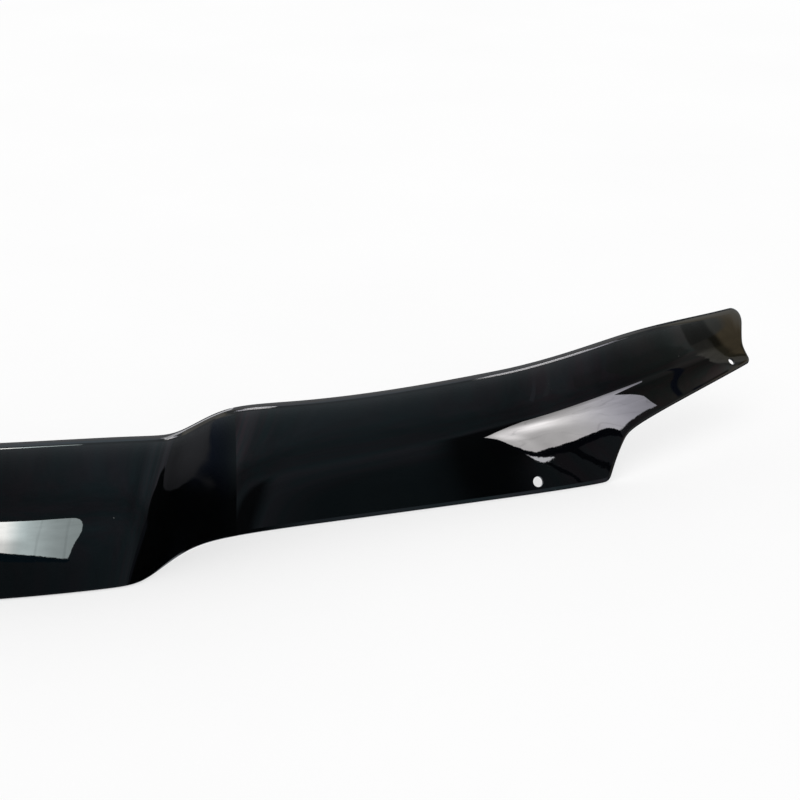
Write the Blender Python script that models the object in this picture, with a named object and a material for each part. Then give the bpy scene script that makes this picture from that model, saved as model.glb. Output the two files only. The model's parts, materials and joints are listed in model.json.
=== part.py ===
"""Hood bug deflector: one thin moulded shell that wraps across the nose of a hood.

X runs across the vehicle, Y runs rearward and Z runs up. Lengths are in millimetres until the mesh
is made, and each half mirrors the other.
"""

import math

import bpy
import numpy as np

METRES_PER_MM = 0.001

# Sections, each square to the plan line at a distance from the centre measured along that line.
STATIONS = np.array([0.0, 190.0, 350.0, 520.0, 670.0, 810.0])
SWEEP_DEG = np.array([0.0, 15.4, 17.7, 23.4, 39.6, 42.6])
CREASE_HEIGHT = np.array([51.0, 49.0, 45.5, 56.5, 65.5, 65.0])
LOWER_LEAN_DEG = np.array([28.0, 25.0, 27.0, 28.0, 39.0, 51.0])
UPPER_LEAN_DEG = np.array([11.0, 9.5, 10.0, 9.5, 10.0, 12.0])
UPPER_WIDTH = np.array([58.6, 58.2, 48.7, 42.0, 41.6, 33.8])
LOWER_LEVEL = -2.2
CREASE_SOFTNESS_CENTRE = 25.0
CREASE_SOFTNESS_TIP = 6.0
HALF_LENGTH = 819.5

# The step between the raised centre panel and each wing.
STEP_START = 201.0
STEP_RUN = 31.0
STEP_DEPTH = 72.0
STEP_SLANT = 0.38
STEP_OUTER_SOFTNESS = 12.5
STEP_INNER_SOFTNESS = 25.0
STEP_REACH = 75.0

# The cutout under each wing tip, as long as the stretch from its bend to the end of the tip.
CUTOUT_LENGTH = 187.0
CUTOUT_RISE = 1.5
CUTOUT_BEND_ABOVE_CREASE = -35.0
CUTOUT_RUN_RISE = 0.105
CUTOUT_CORNER = 3.0
CUTOUT_BEND = 17.0
TIP_LOWER_CORNER = 3.0
TIP_UPPER_CORNER = 14.0
TIP_END_LEAN = 0.2
TIP_END_REACH = 120.0

# The sheet and its rolled edge.
SHEET = 3.0
ROLL_DEG = 80.0
ROLL_TOP = 4.7
ROLL_CUTOUT = 3.6
ROLL_CUTOUT_BLEND = 24.0
ROLL_END = 4.0
CUT_EDGE_ROUNDING = 1.2
INNER_ROLL_LEAST = 0.3

# Screw holes, and the flat seats behind them. Heights are measured up the section, and the tip's hole
# down from the crease.
INNER_HOLE_BEFORE_BEND = 90.0
INNER_HOLE_ABOVE_EDGE = 10.0
INNER_HOLE_DIAMETER = 9.5
INNER_SEAT_DIAMETER = 20.0
INNER_SEAT_DEPTH = 0.4
TIP_HOLE_FROM_END = 22.5
TIP_HOLE_BELOW = 12.5
TIP_HOLE_DIAMETER = 7.0
TIP_SEAT_DIAMETER = 12.0
TIP_SEAT_DEPTH = 0.6
CUTTER_LENGTH = 30.0
CUTTER_SIDES = 32

# Where the columns of the mesh crowd together, how many lie between those places, and other counts.
NEAR_STEP = 51.0
CLOSE_BEFORE_STEP = 16.0
CLOSE_AFTER_STEP = 18.0
PAST_STEP = 68.0
CLOSE_BEFORE_BEND = 39.5
CLOSE_AFTER_BEND = 30.5
RUN_COLUMNS = (6, 3, 16, 5, 12, 14, 8)
TIP_COLUMNS = 5
LOWER_ROWS = 5
UPPER_ROWS = 5
ROLL_STEPS = 3
PLAN_SAMPLES = 16

for old in list(bpy.data.objects):
    bpy.data.objects.remove(old, do_unlink=True)


def along(s, values, odd=False):
    """Smooth value at s through the station values, mirrored about the centre."""
    knots = np.concatenate([[-STATIONS[1]], STATIONS])
    heights = np.concatenate([[-values[1] if odd else values[1]], values])
    slopes = np.gradient(heights, knots)
    i = np.clip(np.searchsorted(knots, s, side="right") - 1, 0, len(knots) - 2)
    width = knots[i + 1] - knots[i]
    t = (s - knots[i]) / width
    start = heights[i] * (1 + 2 * t) * (1 - t) ** 2 + slopes[i] * width * t * (1 - t) ** 2
    end = heights[i + 1] * t * t * (3 - 2 * t) + slopes[i + 1] * width * t * t * (t - 1)
    return start + end


def plan_line(s):
    """Position and sweep angle of the plan line, by integrating its sweep from the centre."""
    nodes, weights = np.polynomial.legendre.leggauss(PLAN_SAMPLES)
    sweep = np.radians(along(s[..., None] * (nodes + 1) / 2, SWEEP_DEG, odd=True))
    x = s * (np.cos(sweep) @ weights) / 2
    y = s * (np.sin(sweep) @ weights) / 2
    return x, y, np.radians(along(s, SWEEP_DEG, odd=True))


def soft_ramp(t, softness):
    """Zero below t = 0 and t above it, with a rounded corner."""
    return (t + np.sqrt(t * t + softness * softness)) / 2


def ease(t):
    t = np.clip(t, 0.0, 1.0)
    return t * t * (3 - 2 * t)


def surface(s, h):
    """Outer surface at s along the plan line and h up the section from the crease."""
    x, y, sweep = plan_line(s)
    lower = np.radians(along(s, LOWER_LEAN_DEG))
    upper = np.radians(along(s, UPPER_LEAN_DEG))
    share = np.clip(s / HALF_LENGTH, 0.0, 1.0)
    softness = CREASE_SOFTNESS_CENTRE + (CREASE_SOFTNESS_TIP - CREASE_SOFTNESS_CENTRE) * share
    bent = soft_ramp(h, softness)
    back = h * np.sin(lower) + bent * (np.sin(upper) - np.sin(lower))
    z = along(s, CREASE_HEIGHT) + h * np.cos(lower) + bent * (np.cos(upper) - np.cos(lower))
    past = s - STEP_START - STEP_SLANT * z
    ramp = soft_ramp(past, STEP_OUTER_SOFTNESS) - soft_ramp(past - STEP_RUN, STEP_INNER_SOFTNESS)
    y = y + np.cos(sweep) * back + ramp * STEP_DEPTH / STEP_RUN
    return np.stack([x - np.sin(sweep) * back, y, z], axis=-1)


def outward(s, h):
    """Unit normal of the outer surface, pointing away from the vehicle."""
    reach = 0.25
    across = surface(s + reach, h) - surface(s - reach, h)
    upward = surface(s, h + reach) - surface(s, h - reach)
    normal = np.cross(across, upward)
    return normal / np.linalg.norm(normal, axis=-1, keepdims=True)


def end_rounding(s, radius):
    """How far a corner arc of this radius has turned inward at s, at the tip."""
    t = np.clip((s - HALF_LENGTH + radius) / radius, 0.0, 1.0)
    return radius * (1 - np.sqrt(1 - t * t))


def cutout_bend():
    return HALF_LENGTH - CUTOUT_LENGTH


def lower_edge(s):
    """Distance from the crease to the lower edge of the face: the level bottom, then the cutout."""
    lean = np.radians(along(s, LOWER_LEAN_DEG))
    level = -along(s, CREASE_HEIGHT) / np.cos(lean)
    for _ in range(3):
        level = level - (surface(s, level)[..., 2] - LOWER_LEVEL) / np.cos(lean)
    past_bend = s - cutout_bend()
    rise = CUTOUT_BEND_ABOVE_CREASE + CUTOUT_RISE * past_bend
    run = CUTOUT_BEND_ABOVE_CREASE + CUTOUT_RUN_RISE * past_bend
    cut = run - soft_ramp(run - rise, CUTOUT_BEND)
    return level + soft_ramp(cut - level, CUTOUT_CORNER) + end_rounding(s, TIP_LOWER_CORNER)


def upper_edge(s):
    return along(s, UPPER_WIDTH) - end_rounding(s, TIP_UPPER_CORNER)


def column_places():
    """Columns along one half, closest together over the step, the cutout's bend and the tip's corner."""
    step_end = STEP_START + STEP_RUN
    bend = cutout_bend()
    corner = HALF_LENGTH - TIP_UPPER_CORNER
    ends = (0.0, STEP_START - NEAR_STEP, STEP_START - CLOSE_BEFORE_STEP, step_end + CLOSE_AFTER_STEP,
            step_end + PAST_STEP, bend - CLOSE_BEFORE_BEND, bend + CLOSE_AFTER_BEND, corner)
    runs = zip(ends, ends[1:], RUN_COLUMNS)
    places = [np.linspace(start, end, number, endpoint=False) for start, end, number in runs]
    turn = np.linspace(0.0, math.pi / 2, TIP_COLUMNS + 1)
    places.append(corner + (HALF_LENGTH - corner) * np.sin(turn))
    return np.concatenate(places)


def face_grid():
    """Plan and section coordinates of the face of one half, as rows by columns."""
    s = column_places()
    low = lower_edge(s)
    slant = STEP_SLANT * (1 - ease(np.abs(s - STEP_START - STEP_RUN / 2) / STEP_REACH))
    slant = slant + TIP_END_LEAN * ease((s - HALF_LENGTH + TIP_END_REACH) / TIP_END_REACH)
    top_s = s + slant * (upper_edge(s) - low)
    high = upper_edge(s) + along(top_s, UPPER_WIDTH) - along(s, UPPER_WIDTH)
    lower_share = np.linspace(1.0, 0.0, LOWER_ROWS + 1)[:-1] ** 1.4
    upper_share = np.linspace(0.0, 1.0, UPPER_ROWS + 1) ** 1.4
    h = np.concatenate([np.outer(lower_share, low), np.outer(upper_share, high)])
    return s + slant * (h - low), h


def roll_radii(s):
    """Outer radius at the lower edge and at the top edge of one half: the level bottom is only rounded."""
    rolled = ease((s - cutout_bend() + ROLL_CUTOUT_BLEND) / ROLL_CUTOUT_BLEND)
    low = CUT_EDGE_ROUNDING + (ROLL_CUTOUT - CUT_EDGE_ROUNDING) * rolled
    high = ROLL_TOP + (ROLL_END - ROLL_TOP) * ease((s - HALF_LENGTH + ROLL_TOP) / ROLL_TOP)
    return low, high


def mirrored(rows, sign):
    """Joins a half to its mirror image, with the centre column kept once."""
    left = rows[:, :0:-1] * np.array([sign, 1.0, 1.0])
    return np.concatenate([left, rows], axis=1)


def turned(quad, on):
    """The same quad from its next corner, so that the left half splits as the right one does."""
    return quad[1:] + quad[:1] if on else quad


def shell_mesh():
    s, h = face_grid()
    outer = mirrored(surface(s, h), -1.0)
    normal = mirrored(outward(s, h), -1.0)
    rows, columns = outer.shape[:2]

    # The loop round the face: along the bottom, up the right end, back along the top, down the left.
    loop = [(0, k) for k in range(columns)]
    loop += [(j, columns - 1) for j in range(1, rows)]
    loop += [(rows - 1, k) for k in range(columns - 2, -1, -1)]
    loop += [(j, 0) for j in range(rows - 2, 0, -1)]
    low, high = roll_radii(s[0])
    low = np.concatenate([low[:0:-1], low])
    high = np.concatenate([high[:0:-1], high])
    end = np.linspace(low[-1], high[-1], rows)
    radius = np.array([
        low[k] if j == 0 else high[k] if j == rows - 1 else end[j] for j, k in loop
    ])[:, None]

    edge = np.array([outer[place] for place in loop])
    edge_normal = np.array([normal[place] for place in loop])
    tangent = np.roll(edge, -1, axis=0) - np.roll(edge, 1, axis=0)
    sideways = np.cross(tangent, edge_normal)
    sideways /= np.linalg.norm(sideways, axis=1, keepdims=True)
    inner_radius = np.maximum(radius - SHEET, INNER_ROLL_LEAST)
    axis = edge - radius * edge_normal
    inner_axis = edge - (SHEET + inner_radius) * edge_normal

    points = [outer.reshape(-1, 3), (outer - SHEET * normal).reshape(-1, 3)]
    for step in range(1, ROLL_STEPS + 1):
        turn = math.radians(ROLL_DEG) * step / ROLL_STEPS
        spoke = math.cos(turn) * edge_normal + math.sin(turn) * sideways
        points.append(axis + radius * spoke)
        points.append(inner_axis + inner_radius * spoke)
    count = rows * columns
    around = len(loop)
    middle = columns // 2

    def face_index(j, k, side):
        return side * count + j * columns + k

    def loop_index(i, step, side):
        if step == 0:
            return face_index(*loop[i % around], side)
        return 2 * count + (2 * (step - 1) + side) * around + i % around

    def on_left(i):
        return loop[i][1] + loop[(i + 1) % around][1] < 2 * middle

    faces = []
    for side in (0, 1):
        quads = [
            turned((face_index(j, k, side), face_index(j, k + 1, side),
                    face_index(j + 1, k + 1, side), face_index(j + 1, k, side)), k < middle)
            for j in range(rows - 1)
            for k in range(columns - 1)
        ]
        quads += [
            turned((loop_index(i, step, side), loop_index(i, step + 1, side),
                    loop_index(i + 1, step + 1, side), loop_index(i + 1, step, side)), on_left(i))
            for i in range(around)
            for step in range(ROLL_STEPS)
        ]
        faces += quads if side == 0 else [quad[::-1] for quad in quads]
    last = ROLL_STEPS
    faces += [
        turned((loop_index(i, last, 0), loop_index(i, last, 1),
                loop_index(i + 1, last, 1), loop_index(i + 1, last, 0)), on_left(i))
        for i in range(around)
    ]
    points = np.concatenate(points)
    shift = (points.min(axis=0) + points.max(axis=0)) / 2
    shift[0] = 0.0
    shift[2] = points[:, 2].min()
    return points - shift, faces, shift


def make_object(name, points, faces):
    mesh = bpy.data.meshes.new(name)
    mesh.from_pydata((np.asarray(points) * METRES_PER_MM).tolist(), [], faces)
    mesh.update()
    obj = bpy.data.objects.new(name, mesh)
    bpy.context.scene.collection.objects.link(obj)
    return obj


def cutter(name, start, direction, length, diameter):
    """A round cutter from a point along a direction, kept out of the render."""
    side = np.cross(direction, [0.0, 0.0, 1.0])
    side /= np.linalg.norm(side)
    up = np.cross(side, direction)
    turns = np.arange(CUTTER_SIDES) * 2 * math.pi / CUTTER_SIDES
    ring = np.outer(np.cos(turns), side) + np.outer(np.sin(turns), up)
    ring *= diameter / 2
    points = np.concatenate([start + ring, start + length * direction + ring])
    n = CUTTER_SIDES
    faces = [(i, (i + 1) % n, n + (i + 1) % n, n + i) for i in range(n)]
    faces += [tuple(range(n - 1, -1, -1)), tuple(range(n, 2 * n))]
    if np.dot(np.cross(ring[0], ring[1]), direction) < 0:
        faces = [face[::-1] for face in faces]
    obj = make_object(name, points, faces)
    obj.hide_render = True
    obj.display_type = "WIRE"
    return obj


def cut(target, tool):
    modifier = target.modifiers.new(tool.name, "BOOLEAN")
    modifier.operation = "DIFFERENCE"
    modifier.solver = "EXACT"
    modifier.object = tool


def drill(target, label, place, height, hole_diameter, seat_diameter, seat_depth, shift):
    """A through hole on each side, with a flat seat sunk in the rear face around it."""
    s = np.array([place])
    h = np.array([height])
    point = surface(s, h)[0] - shift
    normal = outward(s, h)[0]
    for side, sign in (("right", 1.0), ("left", -1.0)):
        mirror = np.array([sign, 1.0, 1.0])
        centre = point * mirror
        inward = -normal * mirror
        hole = cutter(f"{label}_hole_{side}", centre - inward * CUTTER_LENGTH / 2, inward,
                      CUTTER_LENGTH, hole_diameter)
        seat = cutter(f"{label}_seat_{side}", centre + inward * (SHEET - seat_depth), inward,
                      CUTTER_LENGTH / 2, seat_diameter)
        cut(target, seat)
        cut(target, hole)


def acrylic():
    material = bpy.data.materials.new("smoked_black_acrylic")
    material.use_nodes = True
    shader = material.node_tree.nodes["Principled BSDF"]
    shader.inputs["Base Color"].default_value = (0.006, 0.007, 0.008, 1.0)
    shader.inputs["Roughness"].default_value = 0.06
    shader.inputs["Coat Weight"].default_value = 1.0
    shader.inputs["Coat Roughness"].default_value = 0.03
    return material


shell_points, shell_faces, origin_shift = shell_mesh()
shell = make_object("deflector_shell", shell_points, shell_faces)
shell.data.materials.append(acrylic())
shell.data.shade_smooth()
shell.data.set_sharp_from_angle(angle=math.radians(35))
inner_hole_at = cutout_bend() - INNER_HOLE_BEFORE_BEND
inner_hole_height = float(lower_edge(np.array([inner_hole_at]))[0]) + INNER_HOLE_ABOVE_EDGE
drill(shell, "inner", inner_hole_at, inner_hole_height,
      INNER_HOLE_DIAMETER, INNER_SEAT_DIAMETER, INNER_SEAT_DEPTH, origin_shift)
drill(shell, "tip", HALF_LENGTH - TIP_HOLE_FROM_END, -TIP_HOLE_BELOW,
      TIP_HOLE_DIAMETER, TIP_SEAT_DIAMETER, TIP_SEAT_DEPTH, origin_shift)
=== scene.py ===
"""Hood bug deflector: the black acrylic shell, its studio and its camera. Shell sizes are in mm."""

import json
import math

import bmesh
import bpy
import numpy as np
from mathutils import Matrix, Vector

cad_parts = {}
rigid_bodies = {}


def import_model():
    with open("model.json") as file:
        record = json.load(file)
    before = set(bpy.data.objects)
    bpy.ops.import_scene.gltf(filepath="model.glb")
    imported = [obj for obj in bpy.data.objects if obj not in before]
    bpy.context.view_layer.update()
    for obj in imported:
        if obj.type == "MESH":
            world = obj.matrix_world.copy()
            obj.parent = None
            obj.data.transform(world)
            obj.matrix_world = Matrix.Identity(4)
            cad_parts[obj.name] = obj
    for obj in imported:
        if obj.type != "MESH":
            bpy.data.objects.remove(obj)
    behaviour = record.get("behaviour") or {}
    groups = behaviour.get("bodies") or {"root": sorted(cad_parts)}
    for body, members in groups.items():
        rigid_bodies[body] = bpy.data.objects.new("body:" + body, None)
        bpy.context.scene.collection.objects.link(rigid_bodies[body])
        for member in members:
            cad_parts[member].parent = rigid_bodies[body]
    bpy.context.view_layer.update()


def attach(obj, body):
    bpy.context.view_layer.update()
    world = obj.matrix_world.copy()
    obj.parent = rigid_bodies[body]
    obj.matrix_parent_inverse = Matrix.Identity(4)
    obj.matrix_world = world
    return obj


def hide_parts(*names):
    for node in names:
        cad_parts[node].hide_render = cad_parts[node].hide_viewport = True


for leftover in list(bpy.data.objects):
    bpy.data.objects.remove(leftover, do_unlink=True)

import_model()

MM = 0.001

# Sections along the plan line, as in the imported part.
STATIONS = np.array([0.0, 190.0, 350.0, 520.0, 670.0, 810.0])
SWEEP_DEG = np.array([0.0, 15.4, 17.7, 23.4, 39.6, 42.6])
CREASE_HEIGHT = np.array([51.0, 49.0, 45.5, 56.5, 65.5, 65.0])
LOWER_LEAN_DEG = np.array([28.0, 25.0, 27.0, 28.0, 39.0, 51.0])
UPPER_LEAN_DEG = np.array([11.0, 9.5, 10.0, 9.5, 10.0, 12.0])
UPPER_WIDTH = np.array([58.6, 58.2, 48.7, 42.0, 41.6, 33.8])
LOWER_LEVEL = -2.2
CREASE_SOFTNESS = (25.0, 6.0)
HALF_LENGTH = 819.5

# The step between the raised centre panel and each wing.
STEP_START = 201.0
STEP_RUN = 31.0
STEP_DEPTH = 72.0
STEP_SLANT = 0.38
STEP_SOFTNESS = (12.5, 25.0)
STEP_REACH = 75.0

# The cutout under each wing tip, and the tip's end.
CUTOUT_BEND_ALONG = 632.5
CUTOUT_BEND_ABOVE_CREASE = -35.0
CUTOUT_RISE = 1.5
CUTOUT_RUN_RISE = 0.105
CUTOUT_CORNER = 3.0
CUTOUT_BEND = 17.0
TIP_LOWER_CORNER = 3.0
TIP_UPPER_CORNER = 14.0
TIP_END_LEAN = 0.2
TIP_END_REACH = 120.0

# The sheet, its rolled edge, and the rounding of its level lower edge.
SHEET = 3.0
ROLL_DEG = 80.0
ROLL_TOP = 4.7
ROLL_CUTOUT = 3.6
ROLL_CUTOUT_BLEND = 24.0
ROLL_END = 4.0
CUT_EDGE_ROUNDING = 1.2
WING_EDGE_ROUNDING = 3.4
WING_EDGE_START = (196.0, 236.0)
ROUNDING_TURN_BLEND = 20.0
INNER_ROLL_LEAST = 0.3

# Screw holes: place along and above the crease, hole and seat diameters, depth of the seat.
INNER_SCREW = (542.5, -58.935, 9.5, 20.0, 0.4)
TIP_SCREW = (797.0, -12.5, 7.0, 12.0, 0.6)
CUTTER_LENGTH = 14.0
CUTTER_SIDES = 64

# Fineness of the flat blank that the mould bends, and where the roll begins: along the top, in the
# cutout and under the wing.
COARSE_PITCH = 2.5
FINE_PITCH = 1.4
FINE_BEFORE_BEND = 40.0
FINE_AFTER_BEND = 30.0
GUIDE_PITCH = 0.5
GUIDE_SPARE = 10.0
SWEEP_SAMPLES = 16
LOWER_ROWS = 16
UPPER_ROWS = 16
ROW_CROWDING = 1.3
ROLL_STEPS = 8
FIRST_TURN_DEG = (10.0, 24.5, 50.0)
SHARP_DEG = 11.9
TIP_COLUMNS = 14
EDGE_ROW = 0.004
MOULD_REACH = 0.5
SAME_LENGTH = 1e-9

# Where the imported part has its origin, in the mould's coordinates, and the trim that keeps the finer
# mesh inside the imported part's box.
MOULD_ORIGIN = (0.0, 181.926, -4.096)
TRIM = 0.9998

# The studio, in metres, and the camera of the photograph.
FLOOR_SIZE = 60.0
FLOOR_DROP = 0.0004
FLOOR_GLOW = 0.55
ROOM_RADIUS = 60.0
CAMERA_PLACE = (0.410353, -1.584310, 0.708433)
CAMERA_DOWN_DEG = 21.3214
CAMERA_LENS = 87.75
CAMERA_SENSOR = 36.0
CAMERA_CLIP = (0.05, 200.0)
DEGREES = 180 / math.pi

# Upright planes that carry what the gloss shows: foot in the mould's coordinates, the way the plane
# faces as an angle from the front, and distance from the foot. Outlines on them are in millimetres
# across and up.
FRONT_PLANE = ((0.0, 0.0, 0.0), 0.0, 2500.0)
SIDE_PLANE = ((570.0, 220.0, 0.0), 68.0, 2500.0)
TIP_PLANE = ((700.0, 350.0, 0.0), 100.0, 2500.0)
STEP_PLANE = (MOULD_ORIGIN, 90.0, 272.0)

FRONT_WINDOW = (
    (0, 588), (297, 588), (590, 566), (769, 548), (812, 549), (838, 557), (863, 594), (881, 655),
    (891, 743), (889, 849), (876, 948), (822, 1108), (812, 1124), (758, 1127), (0, 1124),
)
FRONT_SILL = (
    (0, 1118), (758, 1120), (816, 1116), (824, 1124), (805, 1130), (691, 1137), (512, 1156),
    (413, 1164), (317, 1168), (0, 1168),
)
SIDE_WINDOW = (
    (-1250, 1140), (-1000, 960), (-850, 885), (300, 850), (850, 885), (870, 1010), (640, 1095),
    (480, 1145), (600, 1290), (800, 1500), (1000, 1720), (1067, 1896), (904, 1843), (729, 1811),
    (552, 1782), (376, 1758), (285, 1746), (225, 1718), (154, 1694), (24, 1669), (-148, 1643),
    (-391, 1608), (-600, 1571), (-881, 1513), (-970, 1478), (-1039, 1418), (-1118, 1302),
)
SIDE_SILL = (
    (-1250, 1130), (-1118, 1290), (-1039, 1406), (-970, 1468), (-881, 1503), (-600, 1560), (-391, 1597),
    (-148, 1632), (24, 1658), (154, 1684), (225, 1708), (285, 1736), (246, 1748), (159, 1725),
    (85, 1704), (-49, 1680), (-219, 1655), (-422, 1624), (-532, 1607), (-704, 1567), (-830, 1545),
    (-910, 1525), (-978, 1496), (-1025, 1449), (-1076, 1364), (-1201, 1228),
)
LONG_BEAM = (
    (-617, 1574), (-513, 1614), (-484, 1641), (-393, 1673), (-209, 1712), (-60, 1745), (-20, 1736),
    (-153, 1711), (-315, 1676), (-397, 1645), (-422, 1618),
)
SHORT_BEAM = (
    (-917, 1519), (-862, 1556), (-829, 1580), (-755, 1610), (-715, 1631), (-643, 1652), (-560, 1680),
    (-548, 1672), (-668, 1640), (-708, 1619), (-750, 1594), (-818, 1563), (-867, 1535),
)
SLIVER = (
    (-982, 1477), (-953, 1494), (-914, 1506), (-830, 1535), (-745, 1560), (-829, 1547), (-890, 1533),
    (-932, 1515), (-957, 1498),
)
ROOF_WINDOW = ((-1150, 1850), (0, 1930), (620, 2020), (560, 2700), (0, 2900), (-800, 2600))
DARK_POST = (
    (-260, 1900), (-230, 1750), (-210, 1600), (-270, 1400), (-350, 1200), (-450, 980), (-560, 760),
    (-480, 740), (-360, 950), (-230, 1200), (-120, 1420), (-80, 1600), (-110, 1760), (-160, 1920),
)
WARM_WALL = (
    (-450, -200), (-430, 300), (-360, 600), (-220, 1000), (60, 1500), (360, 1920), (560, 2200),
    (2400, 2500), (2400, -200),
)
CORNER_SHADE = (
    (-50, -30), (-50, 104), (-88, 104), (-92, 60), (-110, 44), (-136, 50), (-160, 70), (-176, 66),
    (-186, 57), (-205, 51), (-222, 53), (-245, 49), (-266, 40), (-276, 20), (-276, -30),
)
CORNER_GLINT = (
    (-78, 110), (-79, 80), (-79, 70), (-81, 59), (-84, 50), (-86, 43), (-91, 37), (-100, 33),
    (-117, 35), (-136, 41), (-148, 47), (-157, 60), (-154, 74), (-146, 82), (-138, 104),
)
CORNER_RIM = (
    (-206, 52), (-224, 53), (-247, 48), (-270, 38), (-262, 20), (-240, 30), (-215, 36), (-190, 42),
)
STEP_GLEAM = (
    (-165, 150), (-141, 146), (-114, 143), (-84, 142), (-76, 132), (-71, 124), (-68, 117), (-64, 108),
    (-54, 106), (-54, 150), (-70, 200), (-175, 200),
)
SIDE_BLOT = ((-118, -63), (102, -77), (346, -88), (251, 143), (27, 157), (-120, 39))
LEFT_STREAK = ((-722, 60), (-646, -50), (-598, -50), (-665, 107))
RIGHT_STREAK = ((-572, 69), (-470, -56), (-403, -56), (-479, 63))
TIP_BLOT = (
    (380, -95), (520, -113), (856, -119), (1001, -115), (1117, -84), (1150, 0), (1100, 160),
    (900, 300), (768, 300), (560, 40), (380, -50),
)

# Tones along those outlines, in metres across or up, and the room's tones by angle in degrees. The
# joints between the window's panes have a place across and a lean.
WINDOW_TONES = (
    (0.0, 0.96), (0.33, 0.92), (0.39, 0.73), (0.45, 0.53), (0.51, 0.41), (0.56, 0.36), (0.61, 0.31),
    (0.65, 0.28), (0.71, 0.245), (0.77, 0.225), (0.82, 0.205), (0.9, 0.2),
)
PANE_JOINTS = ((0.575, 0.055), (0.784, 0.024))
PANE_TOP = 1.12
FRONT_STRENGTH = 25.0
VEIL_TONES = (
    (-1.25, 0.34), (-1.1, 0.45), (-0.95, 0.42), (-0.75, 0.4), (-0.3, 0.44), (0.1, 0.42), (0.4, 0.36),
    (0.7, 0.29), (0.95, 0.23), (1.1, 0.2),
)
SIDE_STRENGTH = 20.5
WALL_COLOURS = (
    (-0.1, (0.3, 0.3, 0.28)), (-0.085, (0.62, 0.6, 0.54)), (-0.03, (0.6, 0.57, 0.48)),
    (-0.024, (0.22, 0.2, 0.13)), (-0.008, (0.26, 0.22, 0.14)), (0.0, (0.56, 0.45, 0.28)),
    (0.05, (0.55, 0.44, 0.28)), (0.07, (0.78, 0.7, 0.56)), (0.4, (0.9, 0.84, 0.72)),
    (1.2, (0.5, 0.47, 0.42)),
)
CORNER_COLOURS = (
    (-0.19, (0.014, 0.018, 0.018)), (-0.022, (0.011, 0.016, 0.018)), (-0.0165, (0.03, 0.04, 0.06)),
    (-0.0135, (0.05, 0.07, 0.12)), (-0.009, (0.09, 0.12, 0.17)), (-0.005, (0.14, 0.18, 0.22)),
    (0.0, (0.19, 0.24, 0.27)),
)
CORNER_TONES = ((0.02, 0.06), (0.032, 0.1), (0.045, 0.45), (0.062, 1.0), (0.084, 1.0), (0.104, 1.2))
GLINT_TONES = ((0.03, 0.07), (0.038, 0.09), (0.048, 0.13), (0.06, 0.165), (0.08, 0.175))
ROOM_COLOURS = (
    (0.0, (0.69, 0.8, 0.91)), (18.0, (0.61, 0.82, 0.97)), (42.0, (0.62, 0.83, 0.95)),
    (55.0, (0.73, 0.78, 0.89)), (75.0, (0.74, 0.77, 0.9)), (86.0, (0.76, 0.83, 0.81)),
    (97.0, (0.83, 0.82, 0.75)), (115.0, (0.82, 0.8, 0.76)), (150.0, (0.76, 0.8, 0.84)),
    (180.0, (0.76, 0.8, 0.84)),
)
ROOM_STRENGTH = 1.25
ROOM_HEIGHT_TONES = (
    (-90.0, 0.02), (-26.0, 0.03), (-20.0, 0.5), (-14.0, 0.5), (-9.0, 0.42), (-6.0, 0.37), (-2.0, 0.28),
    (0.0, 0.24), (2.5, 0.19), (10.0, 0.19), (17.0, 0.23), (20.0, 0.19), (22.0, 0.165), (24.0, 0.12),
    (26.0, 0.095), (30.0, 0.11), (33.0, 0.13), (34.5, 0.16), (36.0, 0.22), (40.0, 0.6), (44.0, 0.8),
    (60.0, 0.9),
)
ROOM_STRIP_TONES = (
    (0.0, 0.6), (12.0, 0.68), (22.0, 0.75), (26.0, 0.6), (33.0, 0.76), (36.0, 0.7), (39.0, 0.6),
    (43.0, 0.62), (46.0, 0.54), (50.0, 0.54), (56.0, 0.74), (62.0, 0.68), (66.0, 0.6), (70.0, 0.62),
    (73.0, 0.44), (80.0, 0.38), (84.0, 0.44), (88.0, 0.5), (90.5, 0.9), (97.0, 0.9), (112.0, 0.75),
    (120.0, 0.25), (180.0, 0.3),
)

# Where the room's parts begin and end, as pairs of angles between which each comes or goes: upwards
# from level, or round from the front.
CEILING_RISE = (34.0, 42.0)
UPPER_WALL = ((10.0, 20.0), (105.0, 120.0))
EVENED_STRIPS = 0.75
NOOK_ROUND = ((37.0, 41.0), (48.0, 55.0))
NOOK_UP = ((14.0, 17.0), (27.0, 30.0))
NOOK_SHADE = 0.85
BEHIND = ((128.0, 150.0), (5.0, 25.0))
BEHIND_COLOUR = (0.62, 0.66, 0.7)

# Brighter places in the side window's veil: across, up, slope, half length, half width and gain.
VEIL_PATCHES = (
    (-0.72, 1.23, 0.22, 0.34, 0.115, 0.62), (-0.2, 1.40, 0.25, 0.4, 0.13, 0.16),
    (-1.02, 1.30, 0.9, 0.16, 0.07, 0.3),
)

# The acrylic: its colours, how high its surface waves in metres, dust specks by cell, and how far below
# the top edge the painted reflection reaches: a grey in the base colour that stands in for the ceiling
# seen in the rolled top lip.
DEEP_BLACK = (0.0003, 0.0003, 0.0004, 1.0)
HAZY_BLACK = (0.0011, 0.0013, 0.0014, 1.0)
# Grey of the painted reflection along the top edge.
TOP_SHEEN_GREY = (0.020, 0.022, 0.023, 1.0)
DUST_GREY = (0.03, 0.03, 0.029, 1.0)
SHEET_WAVE = 0.00012
SKIN_GRAIN = 0.0000015
ACRYLIC_IOR = 1.49
DUST_CELLS = 55.0
DUST_CHOSEN_ABOVE = 0.93
DUST_SIZE = 0.035
# How far below the top edge the painted reflection fades out.
TOP_SHEEN_REACH = 0.0065

# The least divisor for how far a corner moves when an outline is inset, so that a sharp one stays near.
LEAST_CORNER_SPREAD = 0.35


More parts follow.
